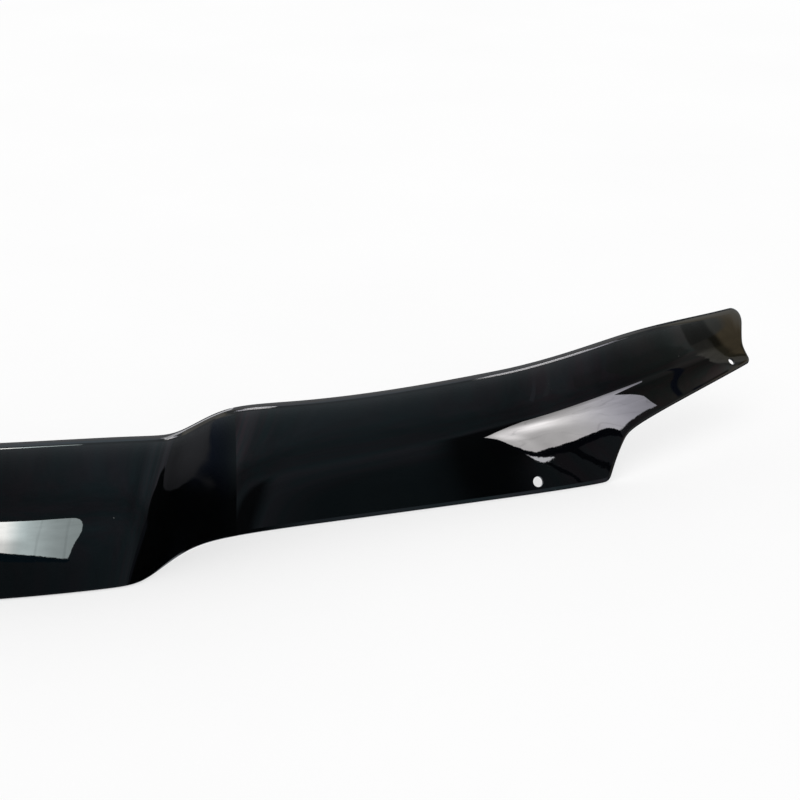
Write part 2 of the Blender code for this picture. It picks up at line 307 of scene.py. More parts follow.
def along(s, values, odd=False):
    """Smooth value at s through the station values, mirrored about the centre."""
    knots = np.concatenate([[-STATIONS[1]], STATIONS])
    heights = np.concatenate([[-values[1] if odd else values[1]], values])
    slopes = np.gradient(heights, knots)
    i = np.clip(np.searchsorted(knots, s, side="right") - 1, 0, len(knots) - 2)
    width = knots[i + 1] - knots[i]
    t = (s - knots[i]) / width
    start = heights[i] * (1 + 2 * t) * (1 - t) ** 2 + slopes[i] * width * t * (1 - t) ** 2
    end = heights[i + 1] * t * t * (3 - 2 * t) + slopes[i + 1] * width * t * t * (t - 1)
    return start + end


def ease(t):
    t = np.clip(t, 0.0, 1.0)
    return t * t * (3 - 2 * t)


def soft_ramp(t, softness):
    return (t + np.sqrt(t * t + softness * softness)) / 2


def section_height(s, h):
    lower = np.radians(along(s, LOWER_LEAN_DEG))
    upper = np.radians(along(s, UPPER_LEAN_DEG))
    share = np.clip(s / HALF_LENGTH, 0.0, 1.0)
    softness = CREASE_SOFTNESS[0] + (CREASE_SOFTNESS[1] - CREASE_SOFTNESS[0]) * share
    bent = soft_ramp(h, softness)
    return along(s, CREASE_HEIGHT) + h * np.cos(lower) + bent * (np.cos(upper) - np.cos(lower))


def end_rounding(s, radius):
    t = np.clip((s - HALF_LENGTH + radius) / radius, 0.0, 1.0)
    return radius * (1 - np.sqrt(1 - t * t))


def wing_rounding(s):
    """Rounding of the lower edge, which grows from the centre panel to the wing."""
    start, end = WING_EDGE_START
    grown = ease((s - start) / (end - start))
    return CUT_EDGE_ROUNDING + (WING_EDGE_ROUNDING - CUT_EDGE_ROUNDING) * grown


def cutout_share(s):
    """One in the cutout and beyond, zero before it, for what changes at its bend."""
    return ease((s - CUTOUT_BEND_ALONG) / ROLL_CUTOUT_BLEND + 1)


def lower_edge(s):
    lean = np.radians(along(s, LOWER_LEAN_DEG))
    level = -along(s, CREASE_HEIGHT) / np.cos(lean)
    for _ in range(3):
        level = level - (section_height(s, level) - LOWER_LEVEL) / np.cos(lean)
    rise = CUTOUT_BEND_ABOVE_CREASE + CUTOUT_RISE * (s - CUTOUT_BEND_ALONG)
    run = CUTOUT_BEND_ABOVE_CREASE + CUTOUT_RUN_RISE * (s - CUTOUT_BEND_ALONG)
    cut = run - soft_ramp(run - rise, CUTOUT_BEND)
    roll = math.radians(ROLL_DEG)
    spare = math.sin(roll) + (1 - math.cos(roll)) * np.tan(lean)
    spare = (wing_rounding(s) - CUT_EDGE_ROUNDING) * spare * (1 - cutout_share(s))
    return level + spare + soft_ramp(cut - level, CUTOUT_CORNER) + end_rounding(s, TIP_LOWER_CORNER)


def upper_edge(s):
    return along(s, UPPER_WIDTH) - end_rounding(s, TIP_UPPER_CORNER)


def column_places():
    cutout = CUTOUT_BEND_ALONG - FINE_BEFORE_BEND
    beyond = CUTOUT_BEND_ALONG + FINE_AFTER_BEND
    tip = HALF_LENGTH - TIP_UPPER_CORNER
    turn = np.linspace(0.0, math.pi / 2, TIP_COLUMNS + 1)
    return np.concatenate([
        np.arange(0.0, cutout, COARSE_PITCH),
        np.arange(cutout, beyond, FINE_PITCH),
        np.arange(beyond, tip - COARSE_PITCH / 2, COARSE_PITCH),
        tip + (HALF_LENGTH - tip) * np.sin(turn),
    ])


def blank_grid():
    """Flat coordinates of one half of the face: along the plan line, and up from the crease."""
    s = column_places()
    low = lower_edge(s)
    slant = STEP_SLANT * (1 - ease(np.abs(s - STEP_START - STEP_RUN / 2) / STEP_REACH))
    slant = slant + TIP_END_LEAN * ease((s - HALF_LENGTH + TIP_END_REACH) / TIP_END_REACH)
    top_s = s + slant * (upper_edge(s) - low)
    high = upper_edge(s) + along(top_s, UPPER_WIDTH) - along(s, UPPER_WIDTH)
    shrink = np.append(1.0, np.linspace(1.0, 0.0, LOWER_ROWS + 1)[:-1] ** ROW_CROWDING)
    grow = np.append(np.linspace(0.0, 1.0, UPPER_ROWS + 1) ** ROW_CROWDING, 1.0)
    shrink[1] = grow[-2] = 1 - EDGE_ROW
    h = np.concatenate([np.outer(shrink, low), np.outer(grow, high)])
    return s + slant * (h - low), h, s


def roll_radii(s):
    low = wing_rounding(s)
    low = low + (ROLL_CUTOUT - low) * cutout_share(s)
    high = ROLL_TOP + (ROLL_END - ROLL_TOP) * ease((s - HALF_LENGTH + ROLL_TOP) / ROLL_TOP)
    return low, high


def plain_mesh(name, points, faces=()):
    mesh = bpy.data.meshes.new(name)
    mesh.from_pydata(np.asarray(points).tolist(), [], list(faces))
    mesh.update()
    obj = bpy.data.objects.new(name, mesh)
    bpy.context.scene.collection.objects.link(obj)
    return obj


def point_values(obj, name, values):
    values = np.asarray(values, dtype=np.float32)
    kind, key = ("FLOAT", "value") if values.ndim == 1 else ("FLOAT_VECTOR", "vector")
    layer = obj.data.attributes.new(name, kind, "POINT")
    layer.data.foreach_set(key, values.ravel())


def flat_blank():
    """The sheet before it is bent: outer side, inner side, and the strips that roll round its edge."""
    s, h, columns_s = blank_grid()
    s = np.concatenate([-s[:, :0:-1], s], axis=1)
    h = np.concatenate([h[:, :0:-1], h], axis=1)
    rows, columns = s.shape
    loop = [(0, k) for k in range(columns)]
    loop += [(j, columns - 1) for j in range(1, rows)]
    loop += [(rows - 1, k) for k in range(columns - 2, -1, -1)]
    loop += [(j, 0) for j in range(rows - 2, 0, -1)]
    low, high = roll_radii(columns_s)
    past_start = ease((columns_s - WING_EDGE_START[0]) / ROUNDING_TURN_BLEND)
    rolled = np.maximum(cutout_share(columns_s), 1 - past_start)
    rolled = np.concatenate([rolled[:0:-1], rolled])
    low = np.concatenate([low[:0:-1], low])
    high = np.concatenate([high[:0:-1], high])
    end = np.linspace(low[-1], high[-1], rows)
    radius = np.array([
        low[k] if j == 0 else high[k] if j == rows - 1 else end[j] for j, k in loop
    ])
    edge = np.array([(s[place], h[place]) for place in loop])
    run = np.roll(edge, -1, axis=0) - np.roll(edge, 1, axis=0)
    run /= np.linalg.norm(run, axis=1, keepdims=True)

    count, around = rows * columns, len(loop)
    face = np.stack([s.ravel(), h.ravel()], axis=1)
    strips = 2 * ROLL_STEPS
    flat = np.concatenate([face, face] + [edge] * strips)
    side = np.concatenate([np.zeros(count), np.ones(count)]
                          + [np.full(around, i % 2) for i in range(strips)])
    top_turn, cutout_turn, wing_turn = FIRST_TURN_DEG
    low_turn = wing_turn + (cutout_turn - wing_turn) * rolled
    first = np.array([
        low_turn[k] if j == 0 else top_turn if j == rows - 1 else cutout_turn for j, k in loop
    ])
    shares = [(i // 2) / (ROLL_STEPS - 1) for i in range(strips)]
    turn = np.concatenate([np.zeros(2 * count)]
                          + [np.radians(first + (ROLL_DEG - first) * share) for share in shares])
    radii = np.concatenate([np.zeros(2 * count)] + [radius] * strips)
    runs = np.concatenate([np.zeros((2 * count, 2))] + [run] * strips)

    def face_index(j, k, on):
        return on * count + j * columns + k

    def loop_index(i, step, on):
        if step == 0:
            return face_index(*loop[i % around], on)
        return 2 * count + (2 * (step - 1) + on) * around + i % around

    faces = []
    for on in (0, 1):
        quads = [(face_index(j, k, on), face_index(j, k + 1, on),
                  face_index(j + 1, k + 1, on), face_index(j + 1, k, on))
                 for j in range(rows - 1) for k in range(columns - 1)]
        quads += [(loop_index(i, step, on), loop_index(i, step + 1, on),
                   loop_index(i + 1, step + 1, on), loop_index(i + 1, step, on))
                  for i in range(around) for step in range(ROLL_STEPS)]
        faces += quads if on == 0 else [quad[::-1] for quad in quads]
    faces += [(loop_index(i, ROLL_STEPS, 0), loop_index(i, ROLL_STEPS, 1),
               loop_index(i + 1, ROLL_STEPS, 1), loop_index(i + 1, ROLL_STEPS, 0))
              for i in range(around)]
    blank = plain_mesh("flat_blank", np.pad(flat, ((0, 0), (0, 1))) * MM, faces)
    top = np.interp(np.abs(flat[:, 0]), s[-1, columns // 2:], h[-1, columns // 2:])
    point_values(blank, "below_top", np.maximum(top - flat[:, 1], 0.0) * MM)
    point_values(blank, "side", side)
    point_values(blank, "turn", turn)
    point_values(blank, "roll_radius", radii * MM)
    point_values(blank, "edge_run", np.pad(runs, ((0, 0), (0, 1))))
    return blank


def mould_guide():
    """Points along half of the plan line at the crease's height, with the angles of the section there."""
    s = np.arange(0.0, HALF_LENGTH + GUIDE_SPARE, GUIDE_PITCH)
    nodes, weights = np.polynomial.legendre.leggauss(SWEEP_SAMPLES)
    sweep = np.radians(along(s[:, None] * (nodes + 1) / 2, SWEEP_DEG, odd=True))
    x = s * (np.cos(sweep) @ weights) / 2
    y = s * (np.sin(sweep) @ weights) / 2
    guide = plain_mesh("mould_guide", np.stack([x, y, along(s, CREASE_HEIGHT)], axis=1) * MM)
    angles = [along(s, SWEEP_DEG, odd=True), along(s, LOWER_LEAN_DEG), along(s, UPPER_LEAN_DEG)]
    point_values(guide, "angles", np.radians(np.stack(angles, axis=1)))
    return guide


def screw_places():
    places, holes, seats, depths = [], [], [], []
    for at, up, hole, seat, depth in (INNER_SCREW, TIP_SCREW):
        for side in (-1, 1):
            places.append((side * at * MM, up * MM, 0.0))
            holes.append(hole / 2 * MM)
            seats.append(seat / 2 * MM)
            depths.append((SHEET - depth) * MM)
    obj = plain_mesh("screw_places", places)
    point_values(obj, "hole_radius", holes)
    point_values(obj, "seat_radius", seats)
    point_values(obj, "seat_depth", depths)
    return obj


class Value:
    """An output socket; arithmetic on it adds Math nodes to its tree."""

    def __init__(self, graph, socket):
        self.graph = graph
        self.socket = socket

    def of(self, name):
        return Value(self.graph, self.socket.node.outputs[name])

    def __add__(self, other):
        return self.graph.math("ADD", self, other)

    def __radd__(self, other):
        return self.graph.math("ADD", other, self)

    def __sub__(self, other):
        return self.graph.math("SUBTRACT", self, other)

    def __rsub__(self, other):
        return self.graph.math("SUBTRACT", other, self)

    def __mul__(self, other):
        return self.graph.math("MULTIPLY", self, other)

    def __rmul__(self, other):
        return self.graph.math("MULTIPLY", other, self)

    def __truediv__(self, other):
        return self.graph.math("DIVIDE", self, other)

    def __rtruediv__(self, other):
        return self.graph.math("DIVIDE", other, self)


class Graph:
    """A node tree, for a shader or for geometry, whose nodes are all added by one method."""

    def __init__(self, tree):
        self.tree = tree

    def add(self, kind, settings=None, inputs=None, out=0):
        node = self.tree.nodes.new(kind)
        for name, value in (settings or {}).items():
            if name == "ramp":
                stops = node.color_ramp.elements
                while len(stops) < len(value):
                    stops.new(0.5)
                for stop, (position, colour) in zip(stops, value):
                    stop.position = position
                    stop.color = (*colour, 1.0) if isinstance(colour, tuple) else (colour,) * 3 + (1.0,)
            else:
                setattr(node, name, value)
        for name, value in (inputs or {}).items():
            if isinstance(value, Value):
                self.tree.links.new(value.socket, node.inputs[name])
            else:
                node.inputs[name].default_value = value
        return Value(self, node.outputs[out])

    def math(self, operation, *values):
        return self.add("ShaderNodeMath", {"operation": operation}, dict(enumerate(values)))

    def vector(self, operation, *values):
        return self.add("ShaderNodeVectorMath", {"operation": operation}, dict(enumerate(values)))

    def scaled(self, vector, factor):
        return self.add("ShaderNodeVectorMath", {"operation": "SCALE"}, {0: vector, "Scale": factor})

    def clamped(self, value):
        return self.add("ShaderNodeClamp", None, {"Value": value})

    def eased(self, value, low, high):
        """Zero below low and one above high, with a smooth change between them."""
        return self.add("ShaderNodeMapRange", {"interpolation_type": "SMOOTHSTEP"},
                        {"Value": value, "From Min": low, "From Max": high})

    def within(self, value, rise, fall):
        """One between the rise and the fall, each a pair of values, and zero outside them."""
        return self.eased(value, *rise) * (1 - self.eased(value, *fall))

    def ramp(self, value, stops):
        """Tones or colours along a value, from pairs of place and tone."""
        low, high = stops[0][0], stops[-1][0]
        shares = [((place - low) / (high - low), tone) for place, tone in stops]
        return self.add("ShaderNodeValToRGB", {"ramp": shares}, {"Fac": (value - low) / (high - low)})

    def mixed(self, first, second, factor):
        return self.add("ShaderNodeMix", {"data_type": "RGBA"}, {"Factor": factor, 6: first, 7: second}, 2)

    def noise(self, place, scale, detail=2.0, roughness=0.5):
        return self.add("ShaderNodeTexNoise", None,
                        {"Vector": place, "Scale": scale, "Detail": detail, "Roughness": roughness})

    def joined(self, x, y, z=0.0):
        return self.add("ShaderNodeCombineXYZ", None, {0: x, 1: y, 2: z})

    def parts(self, vector):
        return self.add("ShaderNodeSeparateXYZ", None, {0: vector})


def new_group(name, inputs, outputs):
    """An empty geometry tree with these sockets; returns it, its graph and its inputs as values."""
    tree = bpy.data.node_groups.new(name, "GeometryNodeTree")
    for label, kind, default in inputs:
        socket = tree.interface.new_socket(label, in_out="INPUT", socket_type=kind)
        if default is not None:
            socket.default_value = default
    for label, kind in outputs:
        tree.interface.new_socket(label, in_out="OUTPUT", socket_type=kind)
    graph = Graph(tree)
    source = tree.nodes.new("NodeGroupInput")
    return tree, graph, {label: Value(graph, source.outputs[label]) for label, _, _ in inputs}


def close_group(graph, results):
    sink = graph.tree.nodes.new("NodeGroupOutput")
    for label, value in results.items():
        graph.tree.links.new(value.socket, sink.inputs[label])


FLOAT, VECTOR, GEOMETRY = "NodeSocketFloat", "NodeSocketVector", "NodeSocketGeometry"
MOULD_SIZES = (
    ("Crease Softness Centre", FLOAT, CREASE_SOFTNESS[0] * MM),
    ("Crease Softness Tip", FLOAT, CREASE_SOFTNESS[1] * MM),
    ("Half Length", FLOAT, HALF_LENGTH * MM),
    ("Step Start", FLOAT, STEP_START * MM),
    ("Step Run", FLOAT, STEP_RUN * MM),
    ("Step Depth", FLOAT, STEP_DEPTH * MM),
    ("Step Slant", FLOAT, STEP_SLANT),
    ("Step Outer Softness", FLOAT, STEP_SOFTNESS[0] * MM),
    ("Step Inner Softness", FLOAT, STEP_SOFTNESS[1] * MM),
    ("Guide Pitch", FLOAT, GUIDE_PITCH * MM),
)


def mould_point_group():
    """Where the mould puts the point that lies Along the plan line and Up from the crease on the blank."""
    inputs = (("Guide", GEOMETRY, None), ("Along", FLOAT, 0.0), ("Up", FLOAT, 0.0)) + MOULD_SIZES
    tree, g, size = new_group("mould_point", inputs, (("Point", VECTOR),))
    s, up = size["Along"], size["Up"]
    half = g.math("ABSOLUTE", s)
    steps = half / size["Guide Pitch"]
    whole = g.math("FLOOR", steps)
    part = steps - whole

    def from_guide(field):
        ends = [g.add("GeometryNodeSampleIndex", {"data_type": "FLOAT_VECTOR", "clamp": True},
                      {"Geometry": size["Guide"], "Value": field, "Index": whole + i}) for i in (0, 1)]
        gap = g.vector("SUBTRACT", ends[1], ends[0])
        between = g.vector("ADD", ends[0], g.scaled(gap, part))
        return g.add("ShaderNodeSeparateXYZ", None, {0: between})

    plan = from_guide(g.add("GeometryNodeInputPosition"))
    angles = from_guide(g.add("GeometryNodeInputNamedAttribute", {"data_type": "FLOAT_VECTOR"},
                              {"Name": "angles"}))
    sweep, lower, upper = angles, angles.of("Y"), angles.of("Z")

    def ramp(t, softness):
        return (t + g.math("SQRT", t * t + softness * softness)) * 0.5

    share = g.clamped(half / size["Half Length"])
    centre, tip = size["Crease Softness Centre"], size["Crease Softness Tip"]
    bent = ramp(up, centre + (tip - centre) * share)
    sine_low, cosine_low = g.math("SINE", lower), g.math("COSINE", lower)
    back = up * sine_low + bent * (g.math("SINE", upper) - sine_low)
    height = plan.of("Z") + up * cosine_low + bent * (g.math("COSINE", upper) - cosine_low)
    past = half - size["Step Start"] - size["Step Slant"] * height
    step = ramp(past, size["Step Outer Softness"])
    step = step - ramp(past - size["Step Run"], size["Step Inner Softness"])
    x = plan - g.math("SINE", sweep) * back
    y = plan.of("Y") + g.math("COSINE", sweep) * back + step * size["Step Depth"] / size["Step Run"]
    side = g.math("COMPARE", s, half, SAME_LENGTH) * 2 - 1
    close_group(g, {"Point": g.add("ShaderNodeCombineXYZ", None, {0: x * side, 1: y, 2: height})})
    return tree


def mould_frame_group(point_group):
    """The mould's surface there: the point, its directions along and up, and the outward normal."""
    inputs = (("Guide", GEOMETRY, None), ("Along", FLOAT, 0.0), ("Up", FLOAT, 0.0),
              ("Reach", FLOAT, MOULD_REACH * MM)) + MOULD_SIZES
    outputs = (("Point", VECTOR), ("Run", VECTOR), ("Rise", VECTOR), ("Normal", VECTOR))
    tree, g, size = new_group("mould_frame", inputs, outputs)
    passed = {label: size[label] for label, _, _ in MOULD_SIZES}

    def point(s, up):
        return g.add("GeometryNodeGroup", {"node_tree": point_group},
                     {"Guide": size["Guide"], "Along": s, "Up": up, **passed})

    s, up, reach = size["Along"], size["Up"], size["Reach"]
    run = g.vector("SUBTRACT", point(s + reach, up), point(s - reach, up))
    rise = g.vector("SUBTRACT", point(s, up + reach), point(s, up - reach))
    normal = g.vector("NORMALIZE", g.vector("CROSS_PRODUCT", run, rise))
    close_group(g, {"Point": point(s, up), "Run": run, "Rise": rise, "Normal": normal})
    return tree


def forming_group(frame_group, material):
    """Bends the flat blank over the mould, rolls its edge, drills it and gives it its material."""
    inputs = (("Blank", GEOMETRY, None), ("Guide", "NodeSocketObject", None),
              ("Screws", "NodeSocketObject", None), ("Sheet", FLOAT, SHEET * MM),
              ("Inner Roll Least", FLOAT, INNER_ROLL_LEAST * MM),
              ("Cutter Length", FLOAT, CUTTER_LENGTH * MM)) + MOULD_SIZES
    tree, g, size = new_group("form_deflector", inputs, (("Geometry", GEOMETRY),))
    passed = {label: size[label] for label, _, _ in MOULD_SIZES}
    guide = g.add("GeometryNodeObjectInfo", None, {"Object": size["Guide"]}, "Geometry")
    screws = g.add("GeometryNodeObjectInfo", None, {"Object": size["Screws"]}, "Geometry")

    def stored(name, kind="FLOAT"):
        return g.add("GeometryNodeInputNamedAttribute", {"data_type": kind}, {"Name": name})

    def on_mould():
        flat = g.add("ShaderNodeSeparateXYZ", None, {0: g.add("GeometryNodeInputPosition")})
        return g.add("GeometryNodeGroup", {"node_tree": frame_group},
                     {"Guide": guide, "Along": flat, "Up": flat.of("Y"), **passed}, "Point")

    here = on_mould()
    normal = here.of("Normal")
    edge = g.add("ShaderNodeSeparateXYZ", None, {0: stored("edge_run", "FLOAT_VECTOR")})
    tangent = g.vector("ADD", g.scaled(here.of("Run"), edge), g.scaled(here.of("Rise"), edge.of("Y")))
    outwards = g.vector("NORMALIZE", g.vector("CROSS_PRODUCT", tangent, normal))
    turn, radius = stored("turn"), stored("roll_radius")
    side, thinned = stored("side"), g.math("MAXIMUM", radius - size["Sheet"], size["Inner Roll Least"])
    wall = radius + side * (thinned - radius)
    along_normal = g.scaled(normal, wall * g.math("COSINE", turn) - wall - side * size["Sheet"])
    along_edge = g.scaled(outwards, wall * g.math("SINE", turn))
    place = g.vector("ADD", here, g.vector("ADD", along_normal, along_edge))
    formed = g.add("GeometryNodeSetPosition", None, {"Geometry": size["Blank"], "Position": place})

    inward = g.scaled(normal, -1.0)
    cutter_length = size["Cutter Length"]

    def cutters(radius_name, start):
        """Round cutters, one square to the shell at each screw place, from start below its outer face."""
        tool = g.add("GeometryNodeMeshCylinder", None,
                     {"Vertices": CUTTER_SIDES, "Radius": 1.0, "Depth": cutter_length}, "Mesh")
        wide = stored(radius_name)
        scale = g.add("ShaderNodeCombineXYZ", None, {0: wide, 1: wide, 2: 1.0})
        kept = g.add("GeometryNodeStoreNamedAttribute", {"data_type": "FLOAT_VECTOR", "domain": "POINT"},
                     {"Geometry": screws, "Name": "inward", "Value": inward})
        centre = g.vector("ADD", here, g.scaled(inward, start + cutter_length * 0.5))
        moved = g.add("GeometryNodeSetPosition", None, {"Geometry": kept, "Position": centre})
        facing = g.add("FunctionNodeAlignRotationToVector", {"axis": "Z"},
                       {"Vector": stored("inward", "FLOAT_VECTOR")})
        copies = g.add("GeometryNodeInstanceOnPoints", None,
                       {"Points": moved, "Instance": tool, "Rotation": facing, "Scale": scale})
        return g.add("GeometryNodeRealizeInstances", None, {"Geometry": copies})

    seated = g.add("GeometryNodeMeshBoolean", {"operation": "DIFFERENCE", "solver": "EXACT"},
                   {"Mesh 1": formed, "Mesh 2": cutters("seat_radius", stored("seat_depth"))}, "Mesh")
    drilled = g.add("GeometryNodeMeshBoolean", {"operation": "DIFFERENCE", "solver": "EXACT"},
                    {"Mesh 1": seated, "Mesh 2": cutters("hole_radius", cutter_length * -0.5)}, "Mesh")
    real = g.add("GeometryNodeRealizeInstances", None, {"Geometry": drilled})
    close_group(g, {"Geometry": g.add("GeometryNodeSetMaterial", None,
                                      {"Geometry": real, "Material": material})})
    return tree


def formed_shell(material):
    """The finished deflector as one plain mesh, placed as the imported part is."""
    blank, guide, screws = flat_blank(), mould_guide(), screw_places()
    tree = forming_group(mould_frame_group(mould_point_group()), material)
    forming = blank.modifiers.new("forming", "NODES")
    forming.node_group = tree
    given = {"Guide": guide, "Screws": screws}
    for item in tree.interface.items_tree:
        if item.in_out == "INPUT" and item.socket_type != GEOMETRY:
            forming[item.identifier] = given.get(item.name, getattr(item, "default_value", None))
    graph = bpy.context.evaluated_depsgraph_get()
    mesh = bpy.data.meshes.new_from_object(blank.evaluated_get(graph), depsgraph=graph)
    for helper in (blank, guide, screws):
        bpy.data.objects.remove(helper, do_unlink=True)
    for name in ("side", "turn", "roll_radius", "edge_run"):
        layer = mesh.attributes.get(name)
        if layer is not None:
            mesh.attributes.remove(layer)
    mesh.transform(Matrix.Scale(TRIM, 4) @ Matrix.Translation(-Vector(MOULD_ORIGIN) * MM))
    mesh.name = "formed_shell"
    mesh.shade_smooth()
    mesh.set_sharp_from_angle(angle=math.radians(SHARP_DEG))
    shell = bpy.data.objects.new("formed_shell", mesh)
    bpy.context.scene.collection.objects.link(shell)
    return shell


def new_material(name):
    """An empty material, its graph and its output node."""
    material = bpy.data.materials.new(name)
    material.use_nodes = True
    material.node_tree.nodes.clear()
    graph = Graph(material.node_tree)
    sink = material.node_tree.nodes.new("ShaderNodeOutputMaterial")
    return material, graph, sink


def smoked_acrylic():
    """Polished black acrylic: deep gloss, the faint ripple of a formed sheet, haze, some dust, and a
    painted reflection that greys the base colour near the top edge.
    """
    material, g, sink = new_material("smoked_black_acrylic")
    place = g.add("ShaderNodeTexCoord", out="Object")
    below_top = g.add("ShaderNodeAttribute", {"attribute_name": "below_top"}, None, "Fac")
    haze = g.noise(place, 22.0, 4.0, 0.6)
    wipes = g.noise(g.vector("MULTIPLY", place, (6.0, 6.0, 60.0)), 1.0, 3.0, 0.6)
    wave = g.add("ShaderNodeBump", None,
                 {"Strength": 1.0, "Distance": SHEET_WAVE, "Height": g.noise(place, 9.0)})
    skin = g.add("ShaderNodeBump", None, {"Strength": 1.0, "Distance": SKIN_GRAIN,
                                          "Height": g.noise(place, 260.0, 2.0, 0.6), "Normal": wave})
    cells = g.add("ShaderNodeTexVoronoi", None,
                  {"Vector": place, "Scale": DUST_CELLS, "Randomness": 1.0})
    chosen = g.math("GREATER_THAN", g.parts(cells.of("Color")), DUST_CHOSEN_ABOVE)
    dust = g.math("LESS_THAN", cells, DUST_SIZE) * chosen
    # Painted reflection: the base colour turns grey just below the top edge, standing in for the ceiling
    # seen in the rolled lip.
    top_sheen = g.math("EXPONENT", below_top / -TOP_SHEEN_REACH) * (0.6 + 0.8 * haze)
    sheened = g.mixed(g.mixed(DEEP_BLACK, HAZY_BLACK, haze), TOP_SHEEN_GREY, g.clamped(top_sheen))
    dusted = g.mixed(sheened, DUST_GREY, dust)
    roughness = 0.003 + 0.006 * haze + 0.005 * wipes + 0.3 * dust
    shader = g.add("ShaderNodeBsdfPrincipled", None,
                   {"Base Color": dusted, "Roughness": roughness, "IOR": ACRYLIC_IOR, "Normal": skin})
    g.tree.links.new(shader.socket, sink.inputs["Surface"])
    return material


def reflection_only(obj):
    """A stage piece that the gloss of the shell shows, and nothing else."""
    obj.visible_camera = False
    obj.visible_diffuse = False
    obj.visible_shadow = False
    obj.visible_transmission = False
    obj.visible_volume_scatter = False


def signed_area(outline):
    sides = zip(outline, outline[1:] + outline[:1])
    return sum(x0 * y1 - x1 * y0 for (x0, y0), (x1, y1) in sides) / 2


def inset(outline, width):
    """The outline, anticlockwise, moved inwards by the width."""
    points = np.array(outline, dtype=float)
    run = np.roll(points, -1, axis=0) - points
    run /= np.linalg.norm(run, axis=1, keepdims=True)
    inward = np.stack([-run[:, 1], run[:, 0]], axis=1)
    both = inward + np.roll(inward, 1, axis=0)
    reach = np.maximum((both * both).sum(axis=1, keepdims=True) / 2, LEAST_CORNER_SPREAD)
    return points + both / reach * width


def card(name, plane, outline, light, edge, nearer=0.0, opacity=1.0, mirrored=True):
    """An upright card that only the gloss shows, fading out over the edge's width, and its mirror image."""
    foot, facing_deg, distance = plane
    outline = list(outline)
    outline = outline if signed_area(outline) > 0 else outline[::-1]
    count = len(outline)
    points = np.concatenate([np.array(outline, dtype=float), inset(outline, edge)])
    points = np.stack([points[:, 0], np.zeros(2 * count), points[:, 1]], axis=1)
    faces = [(i, (i + 1) % count, count + (i + 1) % count, count + i) for i in range(count)]
    faces.append(tuple(range(count, 2 * count)))

    material, g, sink = new_material(name)
    place = g.parts(g.add("ShaderNodeTexCoord", out="Object"))
    glow = g.add("ShaderNodeEmission", None, {"Color": light(g, place, place.of("Z"))})
    fade = g.eased(g.add("ShaderNodeAttribute", {"attribute_name": "fade"}, None, "Fac"), 0.0, 1.0)
    clear = g.add("ShaderNodeBsdfTransparent")
    shader = g.add("ShaderNodeMixShader", None, {0: fade * opacity, 1: clear, 2: glow})
    g.tree.links.new(shader.socket, sink.inputs["Surface"])

    angle = math.radians(facing_deg)
    out = Vector((math.sin(angle), -math.cos(angle), 0.0))
    centre = (Vector(foot) - Vector(MOULD_ORIGIN) + (distance - nearer) * out) * MM
    for side in (1, -1) if mirrored else (1,):
        piece = plain_mesh(name if side == 1 else name + "_left", points * MM, faces)
        point_values(piece, "fade", np.repeat([0.0, 1.0], count))
        piece.data.materials.append(material)
        piece.matrix_world = Matrix.Diagonal((side, 1, 1, 1)) @ (
            Matrix.Translation(centre) @ Matrix.Rotation(angle, 4, "Z"))
        reflection_only(piece)


def even(*colour):
    """Light of one colour, faintly uneven."""
    def light(g, across, up):
        cloud = g.noise(g.joined(across, up), 3.0, 3.0)
        return g.scaled(g.joined(*colour), 0.8 + 0.4 * cloud)
    return light


def front_window_light(g, across, up):
    """Daylight behind three panes: white in the middle, greener and dimmer outwards."""
    off = g.math("ABSOLUTE", across)
    level = g.ramp(off, WINDOW_TONES)
    low = g.eased(up, 0.88, 1.05) * (1 - g.eased(off, 0.4, 0.56))
    level = level * (1 - 0.35 * low)
    for place, lean in PANE_JOINTS:
        gap = g.math("ABSOLUTE", off - place - lean * (PANE_TOP - up))
        level = level * (1 - 0.12 * (1 - g.eased(gap, 0.003, 0.014)))
        level = level * (1 + 0.06 * g.eased(off - place, 0.0, 0.01))
    cloud = g.noise(g.joined(across * 1.5, up * 3.0), 3.0, 3.0, 0.55)
    level = level * (0.82 + 0.36 * cloud)
    colour = g.mixed((1.0, 1.0, 0.97, 1.0), (0.9, 1.04, 1.04, 1.0), g.eased(off, 0.3, 0.5))
    return g.scaled(colour, level * FRONT_STRENGTH)


def side_window_light(g, across, up):
    """Daylight through a creased veil: brightest to the left, violet grey to the right."""
    level = g.ramp(across, VEIL_TONES)
    for x, z, slope, half_length, half_width, gain in VEIL_PATCHES:
        away = (up - z - slope * (across - x)) / half_width
        way = (across - x) / half_length
        level = level + gain * g.math("EXPONENT", (away * away + way * way) * -1)
    level = level * (1 - 0.35 * (1 - g.eased(up, 0.88, 1.12)))
    drift = g.joined(across * 0.9, (up - 0.28 * across) * 4.2)
    veil = g.noise(drift, 2.1, 4.0, 0.55)
    crease = g.math("ABSOLUTE", g.noise(drift, 1.3, 1.0, 0.5) - 0.52)
    level = level * (0.72 + 0.56 * veil) * (1 - 0.16 * (1 - g.eased(crease, 0.0, 0.016)))
    colour = g.mixed((1.02, 0.99, 0.99, 1.0), (0.98, 0.96, 1.08, 1.0), g.eased(across, -0.5, 0.8))
    return g.scaled(colour, level * SIDE_STRENGTH)


def warm_wall_light(g, across, up):
    """A pale doorway and the warm wall behind it, which lean away upwards."""
    off = across + 0.35 - 0.225 * up * up
    near = (1 - g.eased(up, 0.05, 0.4)) * (1 - g.eased(off, -0.014, -0.002))
    above = 1 - g.eased(up, -0.052, -0.038)
    colour = g.ramp(off, WALL_COLOURS)
    colour = g.mixed(colour, (0.36, 0.36, 0.32, 1.0), above)
    cloud = 0.6 + 0.8 * g.noise(g.joined(off * 9.0, up * 1.4), 3.0, 4.0, 0.65)
    return g.scaled(colour, cloud * (1 - 0.62 * near))


def corner_light(g, across, up):
    """Almost none by the step, then a bluish grey that grows towards the wing."""
    drop = 0.088 - up
    away = across + 0.0645 + 3.8 * drop * drop
    return g.scaled(g.ramp(away, CORNER_COLOURS), g.ramp(up, CORNER_TONES))


